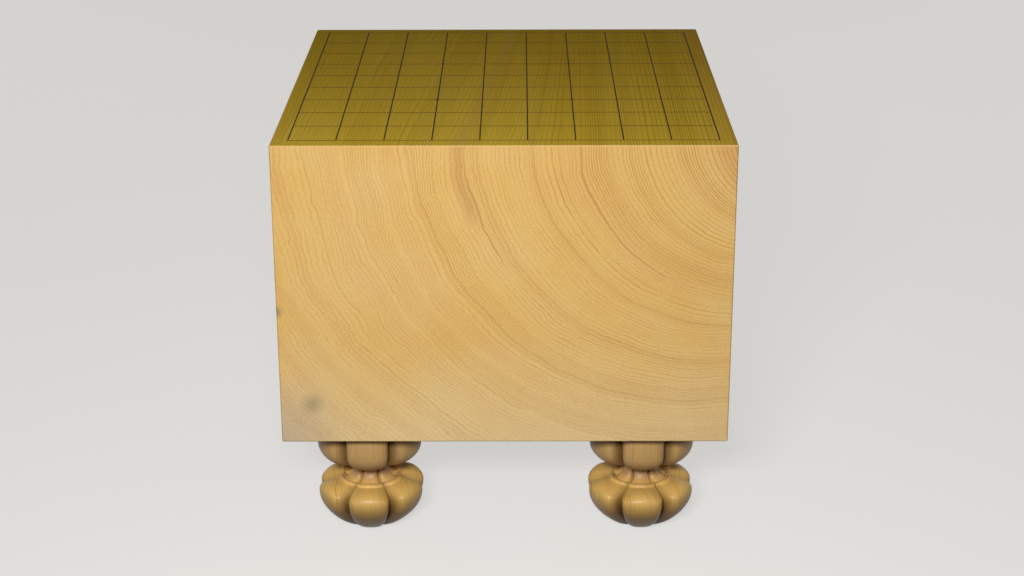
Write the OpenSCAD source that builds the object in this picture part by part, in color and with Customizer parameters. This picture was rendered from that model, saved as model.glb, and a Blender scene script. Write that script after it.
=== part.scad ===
// Legged shogi board: a thick block of pale wood with a lacquered grid on its top, on four carved
// six-lobed legs. Each leg has a round tenon that pushes up into a mortise under the block.
// Millimetres, +Z up, floor at z = 0, end grain and the near player on the -Y side.

/* [Block] */
// Width of the block, left to right
board_w = 333; // [300:1:370]
// Depth of the block, player to player
board_d = 364; // [330:1:400]
// Thickness of the block
board_t = 230; // [150:1:260]
// Bevel along every edge of the block
edge_bevel = 0.8; // [0.4:0.1:2]

/* [Playing grid] */
// Wood left plain outside the grid at the left and right
side_margin = 12.2; // [10:0.1:20]
// Wood left plain outside the grid at each player's end
end_margin = 13.7; // [10:0.1:24]
// Width of a lacquer line
line_w = 0.9; // [0.6:0.1:1.4]
// Height of a lacquer line above the wood
line_h = 0.15; // [0.1:0.01:0.25]
// Diameter of a star point
star_d = 3.2; // [2.6:0.1:5]
// Height of a star point above the crossing that it covers
star_rise = 0.1; // [0.06:0.01:0.3]

/* [Hollow under the block] */
// Side of the square hollow at the underside
hollow_side = 88; // [60:1:100]
// Depth of the hollow at the foot of its walls
hollow_depth = 20; // [15:1:30]
// Slope of each wall, measured inwards at full depth
hollow_taper = 6; // [2:0.5:12]
// Height of the low pyramid left in the middle of the hollow
hollow_rise = 11; // [5:0.5:14]

/* [Leg positions] */
// Distance from a leg's axis to the two nearest faces of the block
leg_inset = 61; // [54:0.5:75]

/* [Leg cap] */
// Radius of the cap at the crest of a lobe
cap_r = 42.5; // [37:0.5:46]
// Height of the cap's straight wall
cap_straight = 21; // [10:0.5:30]
// Height over which the cap rounds in to the neck
cap_round = 19.5; // [14:0.5:28]
// Depth of the valleys between the cap's lobes, as a share of the radius
cap_valley = 0.23; // [0.1:0.01:0.28]
// How far the valleys rise where the cap rounds in, which rounds the lobes' lower corners
cap_lift = 2; // [0:0.25:5]

/* [Leg neck and rim] */
// Radius of the neck
neck_r = 13.5; // [11:0.5:16]
// Height of the neck
neck_h = 7; // [4:0.5:12]
// Height over which the neck flares out to the rim
flare_h = 8; // [5:0.5:12]
// Outer radius of the raised rim round the bulb's top
rim_r = 26; // [24:0.5:30]
// Width of the raised rim
rim_w = 4; // [2.5:0.25:5]
// Height of the raised rim
rim_h = 2.4; // [1:0.1:3]
// Depth of the scallops in the rim, as a share of the radius
rim_valley = 0.11; // [0.05:0.01:0.16]
// How far the rim dips at each valley
rim_dip = 2; // [0:0.1:3]

/* [Leg bulb] */
// Greatest radius of the bulb, at the crest of a lobe
bulb_r = 43.6; // [39:0.2:48]
// Height from the rim's foot down to the bulb's widest part
shoulder_h = 9; // [7:0.5:14]
// Height from the bulb's widest part down to the floor
bulb_h = 30; // [22:0.5:38]
// Depth of the valleys between the bulb's lobes, as a share of the radius
bulb_valley = 0.26; // [0.12:0.01:0.3]
// How far the valleys sag over the shoulder of the bulb
shoulder_dip = 2.6; // [0:0.1:4]
// Radius of the flat foot
foot_r = 15; // [10:0.5:20]
// Depth of the valleys at the foot, as a share of its radius
foot_valley = 0.07; // [0.03:0.01:0.2]

/* [Tenons] */
// Diameter of a leg's tenon
tenon_d = 36; // [28:0.5:44]
// Length of a leg's tenon
tenon_len = 40; // [30:1:55]
// Chamfer round the tenon's tip
tenon_chamfer = 2; // [1:0.25:4]
// Clearance all round the tenon in its mortise
tenon_fit = 0.05; // [0.03:0.01:0.09]
// Air left above the tenon's tip
mortise_air = 2; // [1:0.5:5]

/* [Hidden] */
// Squares along each side of the grid, and so one more line than squares
squares = 9;
lines = squares + 1;
// The grid lines that carry a star point, counted from one corner
star_lines = [3, 6];
cell_w = (board_w - 2 * side_margin) / squares;
cell_d = (board_d - 2 * end_margin) / squares;

// Heights, as depths below the block's underside for the leg and as levels above the floor
cap_end = cap_straight + cap_round;
neck_end = cap_end + neck_h;
rim_foot = neck_end + flare_h;
bulb_mid = rim_foot + shoulder_h;
leg_h = bulb_mid + bulb_h;
underside_z = leg_h;
top_z = leg_h + board_t;
leg_x = board_w / 2 - leg_inset;
leg_y = board_d / 2 - leg_inset;

// Carving of the leg: lobes round it, how square their crests are, and how full the curves are
lobes = 6;
lobe_steps = 8;
ring_n = lobes * lobe_steps;
cap_square = 3.2;
bulb_square = 2.2;
foot_square = 5;
cap_curve = 0.78;
shoulder_curve = 0.68;
bulb_curve = 1.3;

// The sloping ends where a rank line steps over a file line
line_lap = line_h;
// How far a tool cuts past a face, so that no skin is left
past = 1;
$fn = 96;

wood_pale = [0.88, 0.74, 0.46];
wood_leg = [0.84, 0.66, 0.36];
lacquer = [0.13, 0.09, 0.06];

function line_x(i) = (i - squares / 2) * cell_w;
function line_y(i) = (i - squares / 2) * cell_d;

// The leg's outline from the underside of the block down to the foot, each point with its crest
// radius, its depth, the depth of the valleys there, how square the lobes are there and how far the
// valleys rise above the crests.
cap_points = concat(
    [[cap_r, 0, cap_valley, cap_square, 0]],
    [for (i = [0 : 6]) let (a = 90 * i / 6)
        [neck_r + (cap_r - neck_r) * pow(cos(a), cap_curve),
         cap_straight + cap_round * pow(sin(a), cap_curve), cap_valley, cap_square, cap_lift * sin(2 * a)]]
);
flare_points = [for (i = [0 : 4]) let (a = 90 * i / 4, k = i / 4)
    [neck_r + (rim_r - rim_w - neck_r) * (1 - cos(a)), neck_end + flare_h * sin(a),
     cap_valley + (rim_valley - cap_valley) * k, cap_square + (bulb_square - cap_square) * k,
     -rim_dip * k]];
rim_points = [for (i = [1 : 4]) let (a = 180 * i / 4)
    [rim_r - rim_w / 2 - rim_w / 2 * cos(a), rim_foot - rim_h * sin(a), rim_valley, bulb_square, -rim_dip]];
shoulder_points = [for (i = [1 : 4]) let (a = 90 * i / 4)
    [rim_r + (bulb_r - rim_r) * pow(sin(a), shoulder_curve),
     bulb_mid - shoulder_h * pow(cos(a), shoulder_curve),
     rim_valley + (bulb_valley - rim_valley) * sin(a), bulb_square,
     -rim_dip * cos(a) - shoulder_dip * sin(2 * a)]];
bulb_points = [for (i = [1 : 7]) let (a = 90 * i / 7)
    [foot_r + (bulb_r - foot_r) * pow(cos(a), bulb_curve), bulb_mid + bulb_h * pow(sin(a), bulb_curve),
     bulb_valley + (foot_valley - bulb_valley) * sin(a),
     bulb_square + (foot_square - bulb_square) * sin(a), 0]];
leg_points = concat(cap_points, flare_points, rim_points, shoulder_points, bulb_points);
ring_count = len(leg_points);

// How far round from a lobe's crest an angle lies: 0 at the crest, 1 in the valley
function off_crest(a) = abs((a + 180 / lobes) % (360 / lobes) - 180 / lobes) / (180 / lobes);
function ring(p) = [for (k = [0 : ring_n - 1])
    let (a = 360 * k / ring_n, u = off_crest(a), r = p[0] * (1 - p[2] * pow(u, p[3])))
    [r * sin(a), -r * cos(a), p[4] * u * u - p[1]]];
function wall(i, k) = let (a = i * ring_n + k, b = i * ring_n + (k + 1) % ring_n)
    [[a, b, b + ring_n], [a, b + ring_n, a + ring_n]];

leg_shell_points = [for (p = leg_points) each ring(p)];
leg_shell_faces = concat(
    [[for (k = [0 : ring_n - 1]) ring_n - 1 - k]],
    [for (i = [0 : ring_count - 2]) for (k = [0 : ring_n - 1]) each wall(i, k)],
    [[for (k = [0 : ring_n - 1]) (ring_count - 1) * ring_n + k]]
);

// A rectangle with its corners cut at 45 degrees
module bevelled(w, h) {
    x = w / 2;
    y = h / 2;
    c = edge_bevel;
    polygon([[c - x, -y], [x - c, -y], [x, c - y], [x, y - c], [x - c, y], [c - x, y], [-x, y - c], [-x, c - y]]);
}

// The plain block, bevelled along all twelve edges and standing on its underside
module block_blank() {
    translate([0, 0, underside_z + board_t / 2])
        intersection() {
            linear_extrude(board_t, center = true)
                bevelled(board_w, board_d);
            rotate([90, 0, 0])
                linear_extrude(board_d, center = true)
                    bevelled(board_w, board_t);
            rotate([90, 0, 90])
                linear_extrude(board_w, center = true)
                    bevelled(board_d, board_t);
        }
}

// A tool for the square hollow: a tapered square plug with a low pyramid taken out of its end
module hollow_tool() {
    wide = hollow_side / sqrt(2);
    deep = (hollow_side - 2 * hollow_taper) / sqrt(2);
    slope = (wide - deep) / hollow_depth;
    difference() {
        translate([0, 0, underside_z - past])
            rotate(45)
                cylinder(h = hollow_depth + past, r1 = wide + slope * past, r2 = deep, $fn = 4);
        translate([0, 0, underside_z + hollow_depth - hollow_rise])
            rotate(45)
                cylinder(h = hollow_rise + past, r1 = 0, r2 = deep * (hollow_rise + past) / hollow_rise, $fn = 4);
    }
}

module board_block() {
    color(wood_pale)
        difference() {
            block_blank();
            for (sx = [-1, 1])
                for (sy = [-1, 1])
                    translate([sx * leg_x, sy * leg_y, underside_z - past])
                        cylinder(h = tenon_len + mortise_air + past, d = tenon_d + 2 * tenon_fit);
            hollow_tool();
        }
}

// One carved leg with its tenon, at a corner given by its side and end
module leg(sx, sy) {
    r = tenon_d / 2;
    color(wood_leg)
        translate([sx * leg_x, sy * leg_y, underside_z])
            union() {
                polyhedron(points = leg_shell_points, faces = leg_shell_faces, convexity = 8);
                rotate_extrude()
                    polygon([[0, -cap_straight / 2], [r, -cap_straight / 2], [r, tenon_len - tenon_chamfer],
                             [r - tenon_chamfer, tenon_len], [0, tenon_len]]);
            }
}

// A line that runs away from the near player
module file_line(i) {
    color(lacquer)
        translate([line_x(i) - line_w / 2, line_y(0) - line_w / 2, top_z])
            cube([line_w, line_y(squares) - line_y(0) + line_w, line_h]);
}

// The side view of a line that runs across the board: it steps up and over each file line
function rank_top(i) = let (x = line_x(i), w = line_w / 2) concat(
    i == 0 ? [] : [[x - w - line_lap, line_h]],
    [[x - w, 2 * line_h], [x + w, 2 * line_h]],
    i == squares ? [] : [[x + w + line_lap, line_h]]
);
function rank_under(i) = let (x = line_x(i), w = line_w / 2) concat(
    i == squares ? [] : [[x + w, 0]],
    [[x + w, line_h], [x - w, line_h]],
    i == 0 ? [] : [[x - w, 0]]
);
rank_outline = concat(
    [for (i = [0 : squares]) each rank_top(i)],
    [for (i = [0 : squares]) each rank_under(squares - i)]
);

module rank_line(j) {
    color(lacquer)
        translate([0, line_y(j) + line_w / 2, top_z])
            rotate([90, 0, 0])
                linear_extrude(line_w)
                    polygon(rank_outline);
}

// The room that a crossing takes up under a star point: both lines and the step of one over the other
module crossing(i, j) {
    w = line_w / 2;
    reach = star_d;
    translate([line_x(i), line_y(j), top_z]) {
        translate([-w, -reach, -past])
            cube([line_w, 2 * reach, line_h + past]);
        translate([0, w, 0])
            rotate([90, 0, 0])
                linear_extrude(line_w)
                    polygon([[-reach, -past], [reach, -past], [reach, line_h], [w + line_lap, line_h],
                             [w, 2 * line_h], [-w, 2 * line_h], [-w - line_lap, line_h], [-reach, line_h]]);
    }
}

// A raised dot with a domed top, cut away underneath where the two lines pass through it
module star_point(i, j) {
    r = star_d / 2;
    wall_h = 2 * line_h;
    color(lacquer)
        difference() {
            translate([line_x(i), line_y(j), top_z])
                rotate_extrude()
                    polygon(concat(
                        [[0, 0], [r, 0]],
                        [for (a = [0 : 15 : 90]) [r * cos(a), wall_h + star_rise * sin(a)]]
                    ));
            crossing(i, j);
        }
}

board_block();
leg(-1, -1);  // leg_front_left
leg(1, -1);  // leg_front_right
leg(-1, 1);  // leg_rear_left
leg(1, 1);  // leg_rear_right
for (i = [1 : lines]) {
    file_line(i - 1);
    rank_line(i - 1);
}
for (i = [0 : 1])
    for (j = [0 : 1])
        star_point(star_lines[i], star_lines[j]);
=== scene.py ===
# %% [markdown]
# A legged shogi board is one heavy block of pale wood on four carved legs, with a grid of lacquer
# lines on its top. The block, the lines and the star points already have the right shape in the
# imported model, so this lesson gives them better finishes. The legs are modelled again, because their
# flowing carving wants more faces than the solids carry. First we load the imported model, which is the
# fixed frame that everything else is set against, and keep the box of its block.

# %% Load the frame
import bpy
from math import cos, sin, radians, sqrt, atan2, degrees, hypot
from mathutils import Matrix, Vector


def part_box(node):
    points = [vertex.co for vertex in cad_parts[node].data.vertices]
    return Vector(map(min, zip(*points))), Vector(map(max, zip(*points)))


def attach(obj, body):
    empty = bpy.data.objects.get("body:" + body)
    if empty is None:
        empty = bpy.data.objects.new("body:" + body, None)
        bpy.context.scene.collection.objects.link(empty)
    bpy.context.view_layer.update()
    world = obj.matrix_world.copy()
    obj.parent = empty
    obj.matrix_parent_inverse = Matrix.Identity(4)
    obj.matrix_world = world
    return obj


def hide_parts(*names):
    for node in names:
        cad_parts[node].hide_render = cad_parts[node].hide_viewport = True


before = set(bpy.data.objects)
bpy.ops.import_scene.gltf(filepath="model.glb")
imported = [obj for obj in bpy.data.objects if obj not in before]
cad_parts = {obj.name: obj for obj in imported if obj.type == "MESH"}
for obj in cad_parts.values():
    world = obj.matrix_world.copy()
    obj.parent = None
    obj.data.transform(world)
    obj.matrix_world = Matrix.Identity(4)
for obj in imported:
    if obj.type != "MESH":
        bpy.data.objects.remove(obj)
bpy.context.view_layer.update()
MM = 0.001
block_low, block_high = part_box("board_block")
underside, top = block_low[2], block_high[2]
near_face = block_low[1]
print("block", [round((b - a) / MM, 1) for a, b in zip(block_low, block_high)], "mm, on legs of",
      round(underside / MM, 1), "mm")

# %% [markdown]
# The camera stands in front of the near player's side, a little above the board, and looks down on
# it. Its place and lens were worked out from the corners of the block, so that the render lines up
# with the real thing. A long lens is used from well back, which keeps the block's sides nearly upright.

# %% Camera
image_width = 1024
focal_pixels = 1985.9
sensor_width = 36.0
camera_place = (11.76 * MM, -1533.7 * MM, top + 394.7 * MM)
camera_turn = (radians(69.623), radians(0.156), radians(0.2))

bpy.ops.object.select_all(action="DESELECT")
bpy.ops.object.camera_add(location=camera_place, rotation=camera_turn)
camera = bpy.context.object
camera.name = "near_player_camera"
camera.data.sensor_width = sensor_width
camera.data.lens = sensor_width * focal_pixels / image_width
bpy.context.scene.camera = camera
print("lens", round(camera.data.lens, 1), "mm")

# %% [markdown]
# One small function adds a node, sets its properties and joins its inputs. Every material below is
# built with it. Colours are written as they look on a screen, so a second function turns such a
# colour into the linear values that Blender works in. A third starts a material.

# %% Helpers for materials
def add(tree, kind, sockets=None, stops=None, **settings):
    """Add a node: sockets maps an input to a value or to another node's output, stops fill a ramp."""
    new = tree.nodes.new(kind)
    for name, value in settings.items():
        setattr(new, name, value)
    for name, value in (sockets or {}).items():
        if isinstance(value, bpy.types.NodeSocket):
            tree.links.new(value, new.inputs[name])
        else:
            new.inputs[name].default_value = value
    for place, value in (stops or ()):
        ramp = new.color_ramp.elements
        stop = ramp[0] if place == 0 else ramp[-1] if place == 1 else ramp.new(place)
        stop.color = value if isinstance(value, list) else [value, value, value, 1.0]
    return new


def linear(written):
    """A colour written as sRGB hex, as linear red, green, blue and alpha."""
    shares = [int(written[i:i + 2], 16) / 255 for i in (1, 3, 5)]
    return [s / 12.92 if s <= 0.04045 else ((s + 0.055) / 1.055) ** 2.4 for s in shares] + [1.0]


def new_material(name):
    """A material with an empty Principled surface, and its tree and shader."""
    material = bpy.data.materials.new(name)
    material.use_nodes = True
    return material, material.node_tree, material.node_tree.nodes["Principled BSDF"]


print("mid honey is", [round(v, 3) for v in linear("#E0BA72")[:3]])

# %% [markdown]
# The board stands on a plain pale floor. The floor is a wide sheet, far larger than the view, so that
# no edge shows near the board. It is not part of the object. A pale floor
# throws much light up, which would flatten the shading of the legs. So it is pale only where the eye
# or a reflection meets it, with a little glow of its own there, and darker for all other rays. The
# shadow of the board still falls on it.

# %% Floor
floor_side = 14.0
floor_glow = 0.6
mottle_size = 1 / 3.0


def seen_rays(tree):
    """One where an eye, a reflection or a look through glass meets a surface, and zero for other rays."""
    ray = add(tree, "ShaderNodeLightPath")
    met = add(tree, "ShaderNodeMath", {0: ray.outputs["Is Camera Ray"], 1: ray.outputs["Is Glossy Ray"]},
              operation="MAXIMUM")
    met = add(tree, "ShaderNodeMath", {0: met.outputs[0], 1: ray.outputs["Is Transmission Ray"]},
              operation="MAXIMUM")
    return met.outputs[0]


bpy.ops.object.select_all(action="DESELECT")
bpy.ops.mesh.primitive_plane_add(size=floor_side, location=(0, 0, 0))
floor = bpy.context.object
floor.name = "floor"

# Matt paper scatters light evenly, so it gives the eye a soft shadow and no shine.
floor_finish, tree, shader = new_material("matt_studio_paper")
coordinates = add(tree, "ShaderNodeTexCoord").outputs["Object"]
mottle = add(tree, "ShaderNodeTexNoise", {"Vector": coordinates, "Scale": 1 / mottle_size, "Detail": 2.0})
paper = add(tree, "ShaderNodeValToRGB", {"Fac": mottle.outputs["Fac"]},
            [(0, linear("#92908D")), (1, linear("#989693"))])
seen = seen_rays(tree)
floor_tone = add(tree, "ShaderNodeMix", {0: seen, 6: linear("#504F4E"), 7: paper.outputs["Color"]},
                 data_type="RGBA")
tree.links.new(floor_tone.outputs[2], shader.inputs["Base Color"])
glow = add(tree, "ShaderNodeMath", {0: seen, 1: floor_glow}, operation="MULTIPLY")
tree.links.new(glow.outputs[0], shader.inputs["Emission Strength"])
shader.inputs["Emission Color"].default_value = linear("#FFFDFA")
shader.inputs["Roughness"].default_value = 0.9
shader.inputs["Specular IOR Level"].default_value = 0.1
floor.data.materials.append(floor_finish)
print("floor", floor_side, "m wide")

# %% [markdown]
# The main light is a soft box in front of the board, a little left of its middle. The near face takes
# it nearly square on and is the brightest, and the top, which the light only grazes, is deeper in tone.
# Two weak boxes stand low behind the board, below the level of its top, so they light the back and the
# sides and never wash out the grid. On a real soft box a honeycomb narrows the beam, to keep it off the
# floor. Here the spread of each lamp does that.

# %% Lamps
def soft_box(name, place, aim, size, power, spread):
    """A rectangular lamp at a place, turned to face a point, with a beam of so many degrees."""
    bpy.ops.object.select_all(action="DESELECT")
    away = [a - p for a, p in zip(aim, place)]
    tilt = atan2(hypot(away[0], away[1]), -away[2])
    turn = atan2(away[1], away[0]) - radians(90)
    bpy.ops.object.light_add(type="AREA", location=place, rotation=(tilt, 0, turn))
    lamp = bpy.context.object
    lamp.name = name
    lamp.data.shape = "RECTANGLE"
    lamp.data.size, lamp.data.size_y = size
    lamp.data.energy = power
    lamp.data.spread = radians(spread)
    lamp.visible_camera = False
    return lamp


front_place, front_aim = (-0.12, -1.3, 0.75), (0, 0, 0.15)
front_size, front_power, front_spread = (0.35, 0.15), 6.5, 120
soft_box("front_soft_box", front_place, front_aim, front_size, front_power, front_spread)

low_out, low_back, low_height = 1.55, 2.05, 0.17
low_aim = (0, 0, (underside + top) / 2)
low_size, low_power, low_spread = (1.0, 0.26), 0.77, 40
for name, side in (("left_soft_box", -1), ("right_soft_box", 1)):
    low_place = (side * low_out, low_back, low_height)
    low_lamp = soft_box(name, low_place, low_aim, low_size, low_power, low_spread)
    low_lamp.visible_glossy = False  # from behind it would put hard glints on the rims of the legs

# %% [markdown]
# The room around the set is dim, so that the lamps do the modelling. As with the floor, an eye or a
# reflection that meets the room finds it pale.

# %% Surround
surround_light, surround_seen = 0.09, 0.75
surround = bpy.data.worlds.new("studio_surround")
bpy.context.scene.world = surround
surround.use_nodes = True
tree = surround.node_tree
level = add(tree, "ShaderNodeMapRange", {"Value": seen_rays(tree), "To Min": surround_light,
                                         "To Max": surround_seen})
background = tree.nodes["Background"]
background.inputs["Color"].default_value = linear("#FFFDFA")
tree.links.new(level.outputs["Result"], background.inputs["Strength"])
bpy.context.scene.view_settings.view_transform = "Standard"
print("surround gives", surround_light, "of light and looks", surround_seen, "bright")

# %% [markdown]
# Each leg is carved from one piece: a round tenon on top, a straight cap of six broad lobes, a narrow
# ribbed neck, a thin raised rim, and a full bulb of six lobes that tapers to a small foot. A carver
# first turns or saws a round blank to the outline, then cuts six valleys into it. We do the same. The
# outline comes first: each point has its radius on a lobe's crest, its depth below the block, how deep
# the valleys are there as a share of the radius, how square the lobes are there, and how far a valley
# lies above or below its crests. Lifted valleys scallop the lower edge of the cap. Dipped ones scallop
# the rim, and make the lobes of the bulb stand up at its shoulder.

# %% Outline of a leg
tenon_r, tenon_length, tenon_chamfer = 18 * MM, 40 * MM, 2 * MM
cap_r, cap_straight, cap_round = 41.6 * MM, 21 * MM, 19.5 * MM
neck_r, neck_height, flare_height = 13.5 * MM, 7 * MM, 8 * MM
rim_r, rim_width, rim_height = 26 * MM, 4 * MM, 2.4 * MM
bulb_r, shoulder_height, foot_r = 41.8 * MM, 9 * MM, 15 * MM
cap_valley, rim_valley, bulb_valley, foot_valley = 0.3, 0.12, 0.33, 0.32
cap_lift, rim_dip, shoulder_dip = 2 * MM, 1.6 * MM, 2.6 * MM
# As a power, 2 gives a round lobe and 6 a nearly flat one. A curve below 1 fills an arc out.
cap_square, rim_square, bulb_square, foot_square = 6.5, 2.2, 6, 5
cap_curve, shoulder_curve, bulb_curve = 0.78, 0.72, 1.65

neck_top = cap_straight + cap_round
neck_foot = neck_top + neck_height
rim_foot = neck_foot + flare_height
bulb_middle = rim_foot + shoulder_height
bulb_height = underside - bulb_middle


def arc(start, end, steps):
    """Angles from start to end, in even steps, without the start."""
    return [radians(start + (end - start) * i / steps) for i in range(1, steps + 1)]


outline = [(tenon_r - tenon_chamfer, -tenon_length, 0, 1, 0),
           (tenon_r, tenon_chamfer - tenon_length, 0, 1, 0),
           (tenon_r, 0, 0, 1, 0),
           (cap_r, 0, cap_valley, cap_square, 0),
           (cap_r, cap_straight / 2, cap_valley, cap_square, 0),
           (cap_r, cap_straight, cap_valley, cap_square, 0)]
for a in arc(0, 90, 16):
    outline.append((neck_r + (cap_r - neck_r) * max(cos(a), 0) ** cap_curve,
                    cap_straight + cap_round * sin(a) ** cap_curve,
                    cap_valley, cap_square, cap_lift * sin(2 * a)))
outline.append((neck_r, neck_foot, cap_valley, cap_square, 0))
for a in arc(0, 90, 8):
    flared = degrees(a) / 90
    outline.append((neck_r + (rim_r - rim_width - neck_r) * (1 - cos(a)),
                    neck_foot + flare_height * sin(a),
                    cap_valley + (rim_valley - cap_valley) * flared,
                    cap_square + (rim_square - cap_square) * flared,
                    -rim_dip * flared))
for a in arc(0, 180, 8):
    outline.append((rim_r - rim_width / 2 - rim_width / 2 * cos(a),
                    rim_foot - rim_height * sin(a),
                    rim_valley, rim_square, -rim_dip))
for a in arc(0, 90, 10):
    outline.append((rim_r + (bulb_r - rim_r) * sin(a) ** shoulder_curve,
                    bulb_middle - shoulder_height * max(cos(a), 0) ** shoulder_curve,
                    rim_valley + (bulb_valley - rim_valley) * sin(a),
                    rim_square + (bulb_square - rim_square) * sin(a),
                    -rim_dip * cos(a) - shoulder_dip * sin(2 * a)))
for a in arc(0, 90, 18):
    outline.append((foot_r + (bulb_r - foot_r) * max(cos(a), 0) ** bulb_curve,
                    bulb_middle + bulb_height * sin(a),
                    bulb_valley + (foot_valley - bulb_valley) * sin(a),
                    bulb_square + (foot_square - bulb_square) * sin(a), 0))
print(len(outline), "points on the outline, foot at", round(outline[-1][1] / MM, 1), "mm below the block")

# %% [markdown]
# To turn the blank, we add a filled circle at the tenon's tip, then extrude its face down to the next
# point of the outline and scale it to that radius, again and again. The face travels on to become the
# foot, so the blank is closed at both ends. A spin of the outline would do as well, but this way needs
# no seam to be merged.

# %% Turn the blank
lobes = 6
columns_per_lobe = 36
columns = lobes * columns_per_lobe

bpy.ops.object.select_all(action="DESELECT")
tip_r, tip_depth = outline[0][:2]
bpy.ops.mesh.primitive_circle_add(vertices=columns, radius=tip_r, fill_type="NGON",
                                  location=(0, 0, underside - tip_depth))
leg = bpy.context.object
leg.name = "leg_blank"
bpy.ops.object.transform_apply(location=True, rotation=True, scale=True)
bpy.ops.object.mode_set(mode="EDIT")
bpy.ops.mesh.select_mode(type="VERT")
bpy.ops.mesh.select_all(action="SELECT")
for here, there in zip(outline, outline[1:]):
    bpy.ops.mesh.extrude_region_move(TRANSFORM_OT_translate={"value": (0, 0, here[1] - there[1])})
    grow = there[0] / here[0]
    bpy.ops.transform.resize(value=(grow, grow, 1), center_override=(0, 0, 0))
bpy.ops.object.mode_set(mode="OBJECT")
print("blank of", len(leg.data.vertices), "points in", len(outline), "rings")

# %% [markdown]
# Now the carving. The points of the blank stand in upright columns. A column on a lobe's crest stays
# where it is, and the others are drawn in towards the axis, most of all in the valley. A low power
# gives a round lobe with soft sides, and a high power a broad flat one with a sharp crease beside it.
# Points that are drawn in alike are carved together. At the end each point keeps a mark that says how
# near it lies to a crease, and the finish of the legs reads that mark.

# %% Carve the valleys
import bmesh

half_lobe = columns_per_lobe // 2
merge_gap = 0.01 * MM
sharp_angle = radians(34)


def column_step(point):
    """How many columns a point lies from the nearest crest; one crest faces the near player."""
    column = round(degrees(atan2(point.x, -point.y)) / 360 * columns) % columns_per_lobe
    return min(column, columns_per_lobe - column)


def outline_index(point):
    """The point of the outline that a point of the turned blank came from."""
    r, depth = hypot(point.x, point.y), underside - point.z
    return min(range(len(outline)), key=lambda i: abs(outline[i][0] - r) + abs(outline[i][1] - depth))


cuts = {}
for vertex in leg.data.vertices:
    valley, square, lift = outline[outline_index(vertex.co)][2:]
    step = column_step(vertex.co)
    if step and valley:
        cuts.setdefault((step, valley, square, lift), []).append(vertex.index)

bpy.ops.object.mode_set(mode="EDIT")
for (step, valley, square, lift), chosen in cuts.items():
    bpy.ops.mesh.select_all(action="DESELECT")
    carved = bmesh.from_edit_mesh(leg.data)
    carved.verts.ensure_lookup_table()
    for index in chosen:
        carved.verts[index].select = True
    bmesh.update_edit_mesh(leg.data)
    off_crest = step / half_lobe
    draw_in = 1 - valley * off_crest ** square
    bpy.ops.transform.resize(value=(draw_in, draw_in, 1), center_override=(0, 0, 0))
    bpy.ops.transform.translate(value=(0, 0, lift * off_crest ** 2))
bpy.ops.mesh.select_all(action="SELECT")
bpy.ops.mesh.remove_doubles(threshold=merge_gap)
bpy.ops.mesh.normals_make_consistent(inside=False)
bpy.ops.object.mode_set(mode="OBJECT")
bpy.ops.object.shade_smooth_by_angle(angle=sharp_angle)
crease_marks = leg.data.attributes.new("crease", "FLOAT", "POINT")
for vertex, mark in zip(leg.data.vertices, crease_marks.data):
    mark.value = column_step(vertex.co) / half_lobe
print("carved in", len(cuts), "cuts")

# %% [markdown]
# The four legs are alike, so the carved leg is copied to each corner. Each copy gets a mesh of its own,
# moved in edit mode so that the object itself stays at the origin. A leg rides on the body of its own
# joint, and stands for the solid leg there.

# %% Set the legs under the block
legs = []
for end in ("front", "rear"):
    for side in ("left", "right"):
        node = f"leg_{end}_{side}"
        low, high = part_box(node)
        bpy.ops.object.select_all(action="DESELECT")
        leg.select_set(True)
        bpy.context.view_layer.objects.active = leg
        bpy.ops.object.duplicate(linked=False)
        piece = bpy.context.object
        piece.name = f"carved_{node}"
        bpy.ops.object.mode_set(mode="EDIT")
        bpy.ops.mesh.select_all(action="SELECT")
        bpy.ops.transform.translate(value=((low[0] + high[0]) / 2, (low[1] + high[1]) / 2, 0))
        bpy.ops.object.mode_set(mode="OBJECT")
        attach(piece, node)
        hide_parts(node)
        legs.append(piece)
bpy.data.objects.remove(leg)
print("legs", [piece.name for piece in legs])

# %% [markdown]
# The block is kaya, a slow-grown pale conifer, sawn so that the growth rings show as arcs on both
# players' sides and as long straight lines on the top. One pattern in space gives both: rings about a
# pith that lies just outside the upper right edge. The tree leaned, so its rings are not centred: each
# is a circle whose middle lies further left the larger it is. For such circles the size of the ring
# through a point has a short formula, and scaling one axis in a Mapping node gives most of it.

# %% Growth rings of the block
pith_x, pith_z = 225.7 * MM, top + 8.35 * MM
lean = 0.418
flatten = sqrt(1 - lean ** 2)
ring_spacing = 2.35 * MM

# Planed kaya gives the eye a warm, nearly matt surface with fine dark lines.
block_wood, tree, block_shader = new_material("kaya_block")
coordinates = add(tree, "ShaderNodeTexCoord")
position = coordinates.outputs["Object"]
from_pith = add(tree, "ShaderNodeMapping", {"Vector": position, "Scale": (1, 0, flatten),
                                            "Location": (-pith_x, 0, -pith_z * flatten)})
across = add(tree, "ShaderNodeSeparateXYZ", {"Vector": from_pith.outputs["Vector"]})
reach = add(tree, "ShaderNodeVectorMath", {0: from_pith.outputs["Vector"]}, operation="LENGTH")
growth = add(tree, "ShaderNodeMath", {0: across.outputs["X"], 1: lean, 2: reach.outputs["Value"]},
             operation="MULTIPLY_ADD")
growth = add(tree, "ShaderNodeMath", {0: growth.outputs[0], 1: 1 / flatten ** 2}, operation="MULTIPLY")
print("rings about", round(pith_x / MM), "mm across and", round((pith_z - top) / MM), "mm above the top")

# %% [markdown]
# Real rings wander. Near the pith they are smooth, and far from it they grow wavy, so a noise shifts
# them by a share of their size. A second, much smaller noise gives each line the fine ripple of end
# grain. Both are drawn out along the log, because a ring changes slowly in that direction. On the top
# the grain also runs askew in one stretch, as it does beside an old knot.

# %% Wandering of the rings
wave_length = 42 * MM
wave_share = 0.045
ripple_length = 7 * MM
ripple_share = 0.007
askew_slope = 0.085
askew_span = 300 * MM

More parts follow.
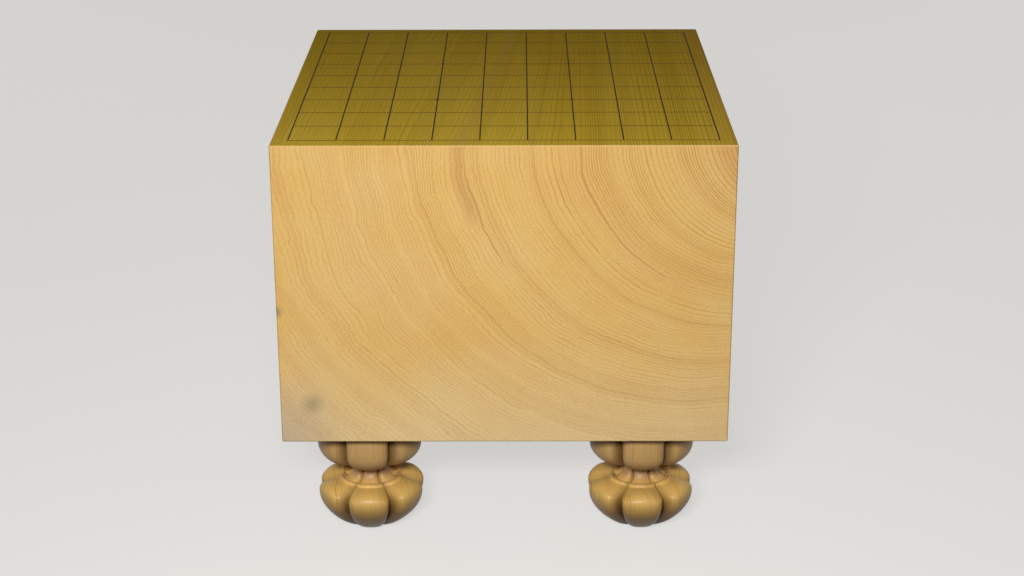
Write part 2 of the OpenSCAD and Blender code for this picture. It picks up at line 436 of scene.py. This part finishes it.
along_log = add(tree, "ShaderNodeMapping", {"Vector": position, "Scale": (1, 0.12, 1)})
wave = add(tree, "ShaderNodeTexNoise", {"Vector": along_log.outputs["Vector"], "Scale": 1 / wave_length,
                                        "Detail": 3.0, "Roughness": 0.55})
wave = add(tree, "ShaderNodeMapRange", {"Value": wave.outputs["Fac"], "To Min": -wave_share / 2,
                                        "To Max": wave_share / 2}, clamp=False)
waved = add(tree, "ShaderNodeMath", {0: growth.outputs[0], 1: wave.outputs["Result"], 2: growth.outputs[0]},
            operation="MULTIPLY_ADD")
ripple = add(tree, "ShaderNodeMapping", {"Vector": position, "Scale": (0.25, 0.02, 1)})
ripple = add(tree, "ShaderNodeTexNoise", {"Vector": ripple.outputs["Vector"], "Scale": 1 / ripple_length,
                                          "Detail": 1.0})
ripple = add(tree, "ShaderNodeMapRange", {"Value": ripple.outputs["Fac"], "To Min": -ripple_share / 2,
                                          "To Max": ripple_share / 2}, clamp=False)
wander = add(tree, "ShaderNodeMath", {0: growth.outputs[0], 1: ripple.outputs["Result"], 2: waved.outputs[0]},
             operation="MULTIPLY_ADD")
span = add(tree, "ShaderNodeMath", {0: growth.outputs[0], 1: 1 / askew_span}, operation="MULTIPLY")
askew = add(tree, "ShaderNodeValToRGB", {"Fac": span.outputs[0]},
            [(0, 0.0), (0.3, 0.05), (0.4, 0.25), (0.55, 1.0), (0.72, 0.5), (1, 0.2)])
depth = add(tree, "ShaderNodeSeparateXYZ", {"Vector": position})
inward = add(tree, "ShaderNodeMath", {0: depth.outputs["Y"], 1: near_face}, operation="SUBTRACT")
inward = add(tree, "ShaderNodeMath", {0: inward.outputs[0], 1: askew_slope}, operation="MULTIPLY")
grain = add(tree, "ShaderNodeMath", {0: inward.outputs[0], 1: askew.outputs["Color"], 2: wander.outputs[0]},
            operation="MULTIPLY_ADD")
print("rings wander by up to", round(wave_share / 2 * askew_span / MM, 1), "mm at the far side")

# %% [markdown]
# Years differ. A slow noise along the growth makes wide and narrow rings, and a white noise gives every
# ring a strength of its own, so that a few stand out as in real wood. Each ring is a plain pale band
# that darkens to a thin line and ends soon after, which a ramp on the ring's own fraction draws. Lines
# near the pith are the strongest, and each line is broken here and there.

# %% Lines of the rings
pace_length, pace_swing = 17 * MM, 2.5
break_length = 26 * MM

pace = add(tree, "ShaderNodeMath", {0: grain.outputs[0], 1: 1 / pace_length}, operation="MULTIPLY")
pace = add(tree, "ShaderNodeTexNoise", {"W": pace.outputs[0], "Scale": 1.0, "Detail": 1.0},
           noise_dimensions="1D")
years = add(tree, "ShaderNodeMath", {0: grain.outputs[0], 1: 1 / ring_spacing}, operation="MULTIPLY")
years = add(tree, "ShaderNodeMath", {0: pace.outputs["Fac"], 1: pace_swing, 2: years.outputs[0]},
            operation="MULTIPLY_ADD")
in_year = add(tree, "ShaderNodeMath", {0: years.outputs[0]}, operation="FRACT")
year = add(tree, "ShaderNodeMath", {0: years.outputs[0]}, operation="FLOOR")
chance = add(tree, "ShaderNodeTexWhiteNoise", {"W": year.outputs[0]}, noise_dimensions="1D")
strong = add(tree, "ShaderNodeValToRGB", {"Fac": chance.outputs["Value"]},
             [(0, 0.35), (0.6, 0.5), (0.93, 0.65), (1, 0.9)])
line = add(tree, "ShaderNodeValToRGB", {"Fac": in_year.outputs[0]},
           [(0, 0.0), (0.66, 0.0), (0.8, 1.0), (0.87, 0.6), (0.97, 0.0), (1, 0.0)])
broken = add(tree, "ShaderNodeTexNoise", {"Vector": along_log.outputs["Vector"], "Scale": 1 / break_length,
                                          "Detail": 2.0})
broken = add(tree, "ShaderNodeMapRange", {"Value": broken.outputs["Fac"], "From Min": 0.34, "From Max": 0.62,
                                          "To Min": 0.35, "To Max": 1.0})
ink = add(tree, "ShaderNodeMath", {0: line.outputs["Color"], 1: strong.outputs["Color"]},
          operation="MULTIPLY")
ink = add(tree, "ShaderNodeMath", {0: ink.outputs[0], 1: broken.outputs["Result"]}, operation="MULTIPLY")
vigour = add(tree, "ShaderNodeValToRGB", {"Fac": span.outputs[0]},
             [(0, 1.0), (0.17, 1.0), (0.24, 0.62), (0.45, 0.58), (0.85, 0.34), (1, 0.34)])
ink = add(tree, "ShaderNodeMath", {0: ink.outputs[0], 1: vigour.outputs["Color"]}, operation="MULTIPLY")
print("about", round(askew_span / ring_spacing), "rings across the block")

# %% [markdown]
# In poor years many rings lie close together. Such bundles are a second, finer comb of lines that shows
# only where a slow noise along the growth is high. The finest rings of real kaya are well under a
# millimetre apart, too fine to show in the render, so the comb is drawn coarser than they are.

# %% Bundles of fine rings
bundle_width = 15 * MM
fine_spacing = 1.35 * MM

bundle = add(tree, "ShaderNodeMath", {0: grain.outputs[0], 1: 1 / bundle_width}, operation="MULTIPLY")
bundle = add(tree, "ShaderNodeTexNoise", {"W": bundle.outputs[0], "Scale": 1.0, "Detail": 0.0},
             noise_dimensions="1D")
bundle = add(tree, "ShaderNodeMapRange", {"Value": bundle.outputs["Fac"], "From Min": 0.5, "From Max": 0.62,
                                          "To Max": 0.5})
fine = add(tree, "ShaderNodeMath", {0: grain.outputs[0], 1: 1 / fine_spacing}, operation="MULTIPLY")
fine = add(tree, "ShaderNodeMath", {0: fine.outputs[0]}, operation="FRACT")
fine = add(tree, "ShaderNodeValToRGB", {"Fac": fine.outputs[0]},
           [(0, 0.0), (0.45, 0.0), (0.75, 1.0), (1, 0.0)])
fine = add(tree, "ShaderNodeMath", {0: fine.outputs["Color"], 1: bundle.outputs["Result"]},
           operation="MULTIPLY")
fine = add(tree, "ShaderNodeMath", {0: fine.outputs[0], 1: vigour.outputs["Color"]}, operation="MULTIPLY")
ink = add(tree, "ShaderNodeMath", {0: ink.outputs[0], 1: fine.outputs[0]}, operation="MAXIMUM")
print("fine rings", round(fine_spacing / MM, 2), "mm apart, in bundles of some", round(bundle_width / MM))

# %% [markdown]
# The bare wood between the lines is honey coloured, with soft warm and pale patches some centimetres
# across, and with bands of rings that blush a little redder. Low on the sides it has dried out and gone
# paler and greyer.

# %% Tones of the sides
patch_size = 70 * MM
blush_width, blush_most = 16 * MM, 0.3
dry_start, dry_most = top - 150 * MM, 0.75

patch = add(tree, "ShaderNodeTexNoise", {"Vector": along_log.outputs["Vector"], "Scale": 1 / patch_size,
                                         "Detail": 2.0, "Roughness": 0.5})
pale = add(tree, "ShaderNodeValToRGB", {"Fac": patch.outputs["Fac"]},
           [(0, linear("#DAAC60")), (0.34, linear("#DEB369")), (0.5, linear("#E1B86E")),
            (0.66, linear("#E2BC78")), (1, linear("#E0BE80"))])
blush = add(tree, "ShaderNodeMath", {0: grain.outputs[0], 1: 1 / blush_width}, operation="MULTIPLY")
blush = add(tree, "ShaderNodeTexNoise", {"W": blush.outputs[0], "Scale": 1.0, "Detail": 1.0},
            noise_dimensions="1D")
blush = add(tree, "ShaderNodeMapRange", {"Value": blush.outputs["Fac"], "From Min": 0.48, "From Max": 0.72,
                                         "To Max": blush_most})
pale = add(tree, "ShaderNodeMix", {0: blush.outputs["Result"], 6: pale.outputs["Color"],
                                   7: linear("#DAAA6C")}, data_type="RGBA").outputs[2]
low_down = add(tree, "ShaderNodeMapRange", {"Value": depth.outputs["Z"], "From Min": dry_start,
                                            "From Max": underside, "To Max": dry_most})
aged = add(tree, "ShaderNodeMix", {0: low_down.outputs["Result"], 6: pale, 7: linear("#E8CC98")},
           data_type="RGBA").outputs[2]
print("sides blush by up to", blush_most, "and dry out by up to", dry_most)

# %% [markdown]
# The top takes a deeper olive gold than the sides: painted shade for a face that the light only
# grazes. It is painted palest along the near edge and darker towards the far one, as painted light that
# falls off from the front. A face knows which way it points, so its normal chooses between the tone of
# the sides and that of the top.

# %% Tone of the top
# Painted light and shade: the top is brightened near the front and darkened towards the back.
near_painted_light = (1.2, 1.26, 1.7, 1)  # what red, green and blue are multiplied by at the near edge
far_painted_shade = (0.82, 0.82, 0.7, 1)

# The top's olive tone is darker than the sides': painted shade for a face the light only grazes.
top_shade_tone = add(tree, "ShaderNodeValToRGB", {"Fac": patch.outputs["Fac"]},
            [(0, linear("#CCA226")), (0.42, linear("#D2AA2C")), (0.6, linear("#D6B034")),
             (1, linear("#D2B03C"))])
facing = add(tree, "ShaderNodeSeparateXYZ", {"Vector": coordinates.outputs["Normal"]})
upward = add(tree, "ShaderNodeMapRange", {"Value": facing.outputs["Z"], "From Min": 0.8, "From Max": 0.95})
on_side = add(tree, "ShaderNodeMapRange", {"Value": upward.outputs["Result"], "To Min": 1.0, "To Max": 0.35})
far_back = add(tree, "ShaderNodeMapRange", {"Value": depth.outputs["Y"], "From Min": near_face,
                                            "From Max": -near_face})
painted_falloff = add(tree, "ShaderNodeMix", {0: far_back.outputs["Result"], 6: near_painted_light, 7: far_painted_shade},
             data_type="RGBA").outputs[2]
top_tone_with_falloff = add(tree, "ShaderNodeVectorMath", {0: top_shade_tone.outputs["Color"], 1: painted_falloff}, operation="MULTIPLY")
bare = add(tree, "ShaderNodeMix", {0: upward.outputs["Result"], 6: aged, 7: top_tone_with_falloff.outputs["Vector"]},
           data_type="RGBA").outputs[2]
# The ring lines on the top are darker as well, with the same painted shade.
line_tone = add(tree, "ShaderNodeMix", {0: upward.outputs["Result"], 6: linear("#A45C1E"),
                                        7: linear("#7C5C12")}, data_type="RGBA").outputs[2]
print("tones set by the way a face points")

# %% [markdown]
# This block has marks of its own. A few rings are much darker than their neighbours, one has a brown
# stain beside it, and the rings next to the pith are reddish. Each is a band of ring sizes, limited to
# a stretch of height, so it follows the grain from the near face over the edge and along the top.

# %% Dark rings and stains
streaks = (  # ring size, half width, middle and half of its height below the top, tone, strength
    ("pith_side_red", 47, 14, 20, 70, "#C68F58", 0.45),
    ("inner_dark_ring", 89, 0.6, 60, 90, "#A67C48", 0.28),
    ("main_dark_ring", 121, 0.7, 35, 80, "#9A7040", 0.38),
    ("stain", 183, 6, 22, 46, "#C4925A", 0.58),
    ("stain_edge", 179.5, 0.8, 56, 42, "#9A7040", 0.34),
    ("middle_dark_ring", 205, 0.6, 120, 140, "#A67C48", 0.26),
    ("outer_dark_ring", 260, 0.6, 70, 90, "#A67C48", 0.24),
    ("low_dark_ring", 269, 0.6, 170, 70, "#A67C48", 0.24),
)
broad = 5  # a streak of more than this half width covers the wood, and a thinner one darkens it
for name, size, half, middle_below, reach_below, written, strength in streaks:
    off = add(tree, "ShaderNodeMath", {0: grain.outputs[0], 1: size * MM}, operation="SUBTRACT")
    off = add(tree, "ShaderNodeMath", {0: off.outputs[0]}, operation="ABSOLUTE")
    band = add(tree, "ShaderNodeMapRange", {"Value": off.outputs[0], "From Min": half * MM, "From Max": 0,
                                            "To Max": strength}, interpolation_type="SMOOTHSTEP")
    rise = add(tree, "ShaderNodeMath", {0: depth.outputs["Z"], 1: top - middle_below * MM},
               operation="SUBTRACT")
    rise = add(tree, "ShaderNodeMath", {0: rise.outputs[0]}, operation="ABSOLUTE")
    limit = add(tree, "ShaderNodeMapRange", {"Value": rise.outputs[0], "From Min": reach_below * MM,
                                             "From Max": reach_below * MM / 2},
                interpolation_type="SMOOTHSTEP")
    share = add(tree, "ShaderNodeMath", {0: band.outputs["Result"], 1: limit.outputs["Result"]},
                operation="MULTIPLY")
    share = add(tree, "ShaderNodeMath", {0: share.outputs[0], 1: on_side.outputs["Result"]},
                operation="MULTIPLY")
    bare = add(tree, "ShaderNodeMix", {0: share.outputs[0], 6: bare, 7: linear(written)}, data_type="RGBA",
               blend_type="MIX" if half > broad else "MULTIPLY").outputs[2]
print(len(streaks), "marks that follow the rings")

# %% [markdown]
# Other marks do not follow the rings: the lower left corner has greyed, with a smudge and a small spot
# beside it. Each is a soft ball in space about a point on the near face, so it goes round the corner
# of the block as a real stain does.

# %% Grey corner and spots
left_face = block_low[0]
spots = (  # distance from the left face, below the top, radius, tone, strength
    ("grey_corner", 0, 228, 62, "#C8B294", 0.85),
    ("smudge", 24, 199, 12, "#9C8C6C", 0.6),
    ("edge_spot", 0, 126, 7, "#8A7858", 0.7),
)
for name, inset, below, radius, written, strength in spots:
    spot_middle = (left_face + inset * MM, near_face, top - below * MM)
    far = add(tree, "ShaderNodeVectorMath", {0: position, 1: spot_middle}, operation="DISTANCE")
    share = add(tree, "ShaderNodeMapRange", {"Value": far.outputs["Value"], "From Min": radius * MM,
                                             "From Max": 0, "To Max": strength},
                interpolation_type="SMOOTHSTEP")
    bare = add(tree, "ShaderNodeMix", {0: share.outputs["Result"], 6: bare, 7: linear(written)},
               data_type="RGBA").outputs[2]
print(len(spots), "marks that do not follow the rings")

# %% [markdown]
# Last come the ring lines themselves, and the fibres: a fine noise drawn out along the log, which is
# streaks on the top and a faint grit on the end grain. Real fibres are far finer than a pixel, so they
# are drawn about a millimetre wide. The small bevel round the top gets a pale tone, a painted highlight
# where the light catches it. Planed kaya is not glossy, so the surface is fairly rough, and the hard ring
# lines stand up from it by a hair.

# %% Finish of the block
fibre_width = 1.1 * MM
ink_strength = 1.6
line_relief, relief_height = 0.6, 0.06 * MM

drawn_out = add(tree, "ShaderNodeMapping", {"Vector": position, "Scale": (1, 0.02, 1)})
fibre = add(tree, "ShaderNodeTexNoise", {"Vector": drawn_out.outputs["Vector"], "Scale": 1 / fibre_width,
                                         "Detail": 2.0})
ink_share = add(tree, "ShaderNodeMath", {0: ink.outputs[0], 1: ink_strength}, operation="MULTIPLY",
                use_clamp=True)
ringed = add(tree, "ShaderNodeMix", {0: ink_share.outputs[0], 6: bare, 7: line_tone},
             data_type="RGBA").outputs[2]
shade = add(tree, "ShaderNodeMapRange", {"Value": fibre.outputs["Fac"], "From Min": 0.3, "From Max": 0.7,
                                         "To Min": 0.93, "To Max": 1.05})
colour = add(tree, "ShaderNodeVectorMath", {0: ringed, "Scale": shade.outputs["Result"]}, operation="SCALE")
# Painted highlight: the bevel gets a pale tone where the light would catch it.
on_edge = add(tree, "ShaderNodeValToRGB", {"Fac": facing.outputs["Z"]},
              [(0, 0.0), (0.55, 0.0), (0.62, 0.8), (0.78, 0.8), (0.86, 0.0), (1, 0.0)])
bevel_painted_highlight = add(tree, "ShaderNodeMix", {0: on_edge.outputs["Color"], 6: colour.outputs["Vector"],
                                    7: linear("#E4BE76")}, data_type="RGBA")
tree.links.new(bevel_painted_highlight.outputs[2], block_shader.inputs["Base Color"])
gloss = add(tree, "ShaderNodeMapRange", {"Value": fibre.outputs["Fac"], "To Min": 0.52, "To Max": 0.68})
tree.links.new(gloss.outputs["Result"], block_shader.inputs["Roughness"])
relief = add(tree, "ShaderNodeMath", {0: ink.outputs[0], 1: line_relief, 2: fibre.outputs["Fac"]},
             operation="MULTIPLY_ADD")
bump = add(tree, "ShaderNodeBump", {"Height": relief.outputs[0], "Strength": 0.35, "Distance": relief_height})
tree.links.new(bump.outputs["Normal"], block_shader.inputs["Normal"])
block_shader.inputs["Specular IOR Level"].default_value = 0.005
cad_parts["board_block"].material_slots[0].material = block_wood
print("block finished with", len(tree.nodes), "nodes")

# %% [markdown]
# The legs are cut from the same tree with the grain upright, so their ring lines run up and down the
# lobes and curve where a lobe rounds. The rings' middle lies well to one side, which makes fine close
# lines on the front. The carved wood is rubbed smooth and has a soft shine.

# %% Wood of the legs
leg_pith = (420 * MM, -60 * MM)
leg_spacing = 1.7 * MM
leg_wave_length, leg_wave = 30 * MM, 14 * MM

# Carved and rubbed kaya gives the eye a small soft shine on each crest, and its creases are browned with
# painted shade.
leg_wood, tree, leg_shader = new_material("carved_kaya")
position = add(tree, "ShaderNodeTexCoord").outputs["Object"]
from_pith = add(tree, "ShaderNodeMapping", {"Vector": position, "Location": (-leg_pith[0], -leg_pith[1], 0),
                                            "Scale": (1, 1, 0)})
reach = add(tree, "ShaderNodeVectorMath", {0: from_pith.outputs["Vector"]}, operation="LENGTH")
upright = add(tree, "ShaderNodeMapping", {"Vector": position, "Scale": (1, 1, 0.15)})
wave = add(tree, "ShaderNodeTexNoise", {"Vector": upright.outputs["Vector"], "Scale": 1 / leg_wave_length,
                                        "Detail": 2.0})
wander = add(tree, "ShaderNodeMath", {0: wave.outputs["Fac"], 1: leg_wave, 2: reach.outputs["Value"]},
             operation="MULTIPLY_ADD")
years = add(tree, "ShaderNodeMath", {0: wander.outputs[0], 1: 1 / leg_spacing}, operation="MULTIPLY")
in_year = add(tree, "ShaderNodeMath", {0: years.outputs[0]}, operation="FRACT")
year = add(tree, "ShaderNodeMath", {0: years.outputs[0]}, operation="FLOOR")
chance = add(tree, "ShaderNodeTexWhiteNoise", {"W": year.outputs[0]}, noise_dimensions="1D")
strong = add(tree, "ShaderNodeValToRGB", {"Fac": chance.outputs["Value"]},
             [(0, 0.12), (0.6, 0.35), (0.85, 0.6), (1, 1.0)])
line = add(tree, "ShaderNodeValToRGB", {"Fac": in_year.outputs[0]},
           [(0, 0.0), (0.4, 0.05), (0.82, 1.0), (1, 0.0)])
ink = add(tree, "ShaderNodeMath", {0: line.outputs["Color"], 1: strong.outputs["Color"]},
          operation="MULTIPLY")
print("leg rings", round(leg_spacing / MM, 1), "mm apart")

# %% [markdown]
# The tone of a leg changes with height, in painted light and shade: painted shade makes it dark brown
# at the foot and duller at the neck and on the cap, painted light makes the full part of the bulb golden
# and bright, and a painted shadow darkens the gap under the block. Above that the tenon is bare wood. A
# ramp over the height of the leg holds these tones.

# %% Tones of the legs
leg_patch_size = 22 * MM
leg_fibre_width = 0.9 * MM
leg_ink_strength = 0.6

height = add(tree, "ShaderNodeSeparateXYZ", {"Vector": position})
raised = add(tree, "ShaderNodeMath", {0: height.outputs["Z"], 1: 1 / underside}, operation="MULTIPLY")
patch = add(tree, "ShaderNodeTexNoise", {"Vector": upright.outputs["Vector"], "Scale": 1 / leg_patch_size,
                                         "Detail": 2.0})
# Painted shade at the foot, neck and cap, painted light on the bulb, painted shadow just under the block.
tone = add(tree, "ShaderNodeValToRGB", {"Fac": raised.outputs[0]},
           [(0, linear("#5E4A2C")), (0.12, linear("#685238")), (0.2, linear("#88693C")),
            (0.28, linear("#BA944F")), (0.34, linear("#DCB264")), (0.41, linear("#EEC06A")),
            (0.46, linear("#BE9466")), (0.56, linear("#AA8258")), (0.64, linear("#A67E50")),
            (0.72, linear("#C0985E")), (0.9, linear("#C8A268")), (0.97, linear("#7C5C3A")),
            (0.994, linear("#4E3820")), (1, linear("#C8A268"))])
warmth = add(tree, "ShaderNodeMapRange", {"Value": patch.outputs["Fac"], "From Min": 0.3, "From Max": 0.7,
                                          "To Min": 0.93, "To Max": 1.05})
bare = add(tree, "ShaderNodeVectorMath", {0: tone.outputs["Color"], "Scale": warmth.outputs["Result"]},
           operation="SCALE").outputs["Vector"]
ink_share = add(tree, "ShaderNodeMath", {0: ink.outputs[0], 1: leg_ink_strength}, operation="MULTIPLY")
ringed = add(tree, "ShaderNodeMix", {0: ink_share.outputs[0], 6: bare, 7: linear("#A06A2C")},
             data_type="RGBA").outputs[2]
fibres = add(tree, "ShaderNodeMapping", {"Vector": position, "Scale": (1, 1, 0.03)})
fibre = add(tree, "ShaderNodeTexNoise", {"Vector": fibres.outputs["Vector"], "Scale": 1 / leg_fibre_width,
                                         "Detail": 2.0})
shade = add(tree, "ShaderNodeMapRange", {"Value": fibre.outputs["Fac"], "From Min": 0.3, "From Max": 0.7,
                                         "To Min": 0.92, "To Max": 1.05})
colour = add(tree, "ShaderNodeVectorMath", {0: ringed, "Scale": shade.outputs["Result"]}, operation="SCALE")
print("leg tones over", round(underside / MM, 1), "mm of height")

# %% [markdown]
# The creases are darkened to brown with painted shade, most of all low down. The mark that the carving
# left on each point says where the creases are.
# The crests are rubbed smooth and take a soft shine.

# %% Finish of the legs
crease_start, crease_end = 0.64, 0.98
leg_relief_height = 0.05 * MM

# Painted shade: wood near each crease is darkened to brown, more on the lower bulb.
crease = add(tree, "ShaderNodeAttribute", attribute_name="crease")
painted_crease_shade = add(tree, "ShaderNodeMapRange", {"Value": crease.outputs["Fac"], "From Min": crease_start,
                                         "From Max": crease_end}, interpolation_type="SMOOTHSTEP")
crease_shade_by_height = add(tree, "ShaderNodeValToRGB", {"Fac": raised.outputs[0]},
              [(0, 0.85), (0.22, 0.8), (0.33, 0.4), (0.5, 0.4), (0.62, 0.66), (0.99, 0.66), (1, 0.0)])
painted_crease_shade = add(tree, "ShaderNodeMath", {0: painted_crease_shade.outputs["Result"], 1: crease_shade_by_height.outputs["Color"]},
            operation="MULTIPLY")
crease_shaded = add(tree, "ShaderNodeMix", {0: painted_crease_shade.outputs[0], 6: colour.outputs["Vector"], 7: linear("#523816")},
              data_type="RGBA")
tree.links.new(crease_shaded.outputs[2], leg_shader.inputs["Base Color"])
gloss = add(tree, "ShaderNodeMapRange", {"Value": fibre.outputs["Fac"], "To Min": 0.34, "To Max": 0.46})
tree.links.new(gloss.outputs["Result"], leg_shader.inputs["Roughness"])
bump = add(tree, "ShaderNodeBump", {"Height": fibre.outputs["Fac"], "Strength": 0.3,
                                    "Distance": leg_relief_height})
tree.links.new(bump.outputs["Normal"], leg_shader.inputs["Normal"])
leg_shader.inputs["Specular IOR Level"].default_value = 0.32
for piece in legs:
    piece.data.materials.clear()
    piece.data.materials.append(leg_wood)
print("legs finished with", len(tree.nodes), "nodes")

# %% [markdown]
# The grid is drawn with thick lacquer, which stands a little above the wood. It is brown black, and it
# has worn thin in places, where it looks browner and duller. On the rounded flanks of a stroke it is
# thin as well, and the wood shows through.

# %% Lacquer of the grid
wear_size = 14 * MM

# Lacquer that has lost its polish gives the eye dark strokes with a dull gleam.
line_lacquer, tree, lacquer_shader = new_material("brown_black_lacquer")
lacquer_coordinates = add(tree, "ShaderNodeTexCoord")
position = lacquer_coordinates.outputs["Object"]
worn = add(tree, "ShaderNodeTexNoise", {"Vector": position, "Scale": 1 / wear_size, "Detail": 3.0})
tone = add(tree, "ShaderNodeValToRGB", {"Fac": worn.outputs["Fac"]},
           [(0, linear("#140C05")), (0.5, linear("#1E1408")), (0.68, linear("#3A2A10")),
            (1, linear("#5A4418"))])
stroke_facing = add(tree, "ShaderNodeSeparateXYZ", {"Vector": lacquer_coordinates.outputs["Normal"]})
flank = add(tree, "ShaderNodeMapRange", {"Value": stroke_facing.outputs["Z"], "From Min": 0.75,
                                         "From Max": 0.45})
thinned = add(tree, "ShaderNodeMix", {0: flank.outputs["Result"], 6: tone.outputs["Color"],
                                      7: linear("#7C6220")}, data_type="RGBA")
tree.links.new(thinned.outputs[2], lacquer_shader.inputs["Base Color"])
gloss = add(tree, "ShaderNodeMapRange", {"Value": worn.outputs["Fac"], "From Min": 0.3, "From Max": 0.7,
                                         "To Min": 0.55, "To Max": 0.7})
tree.links.new(gloss.outputs["Result"], lacquer_shader.inputs["Roughness"])
lacquer_shader.inputs["Specular IOR Level"].default_value = 0.03
strokes = ("file_line", "rank_line", "star_point")
grid = [node for name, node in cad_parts.items() if name.startswith(strokes)]
for node in grid:
    node.material_slots[0].material = line_lacquer
print(len(grid), "strokes of lacquer")
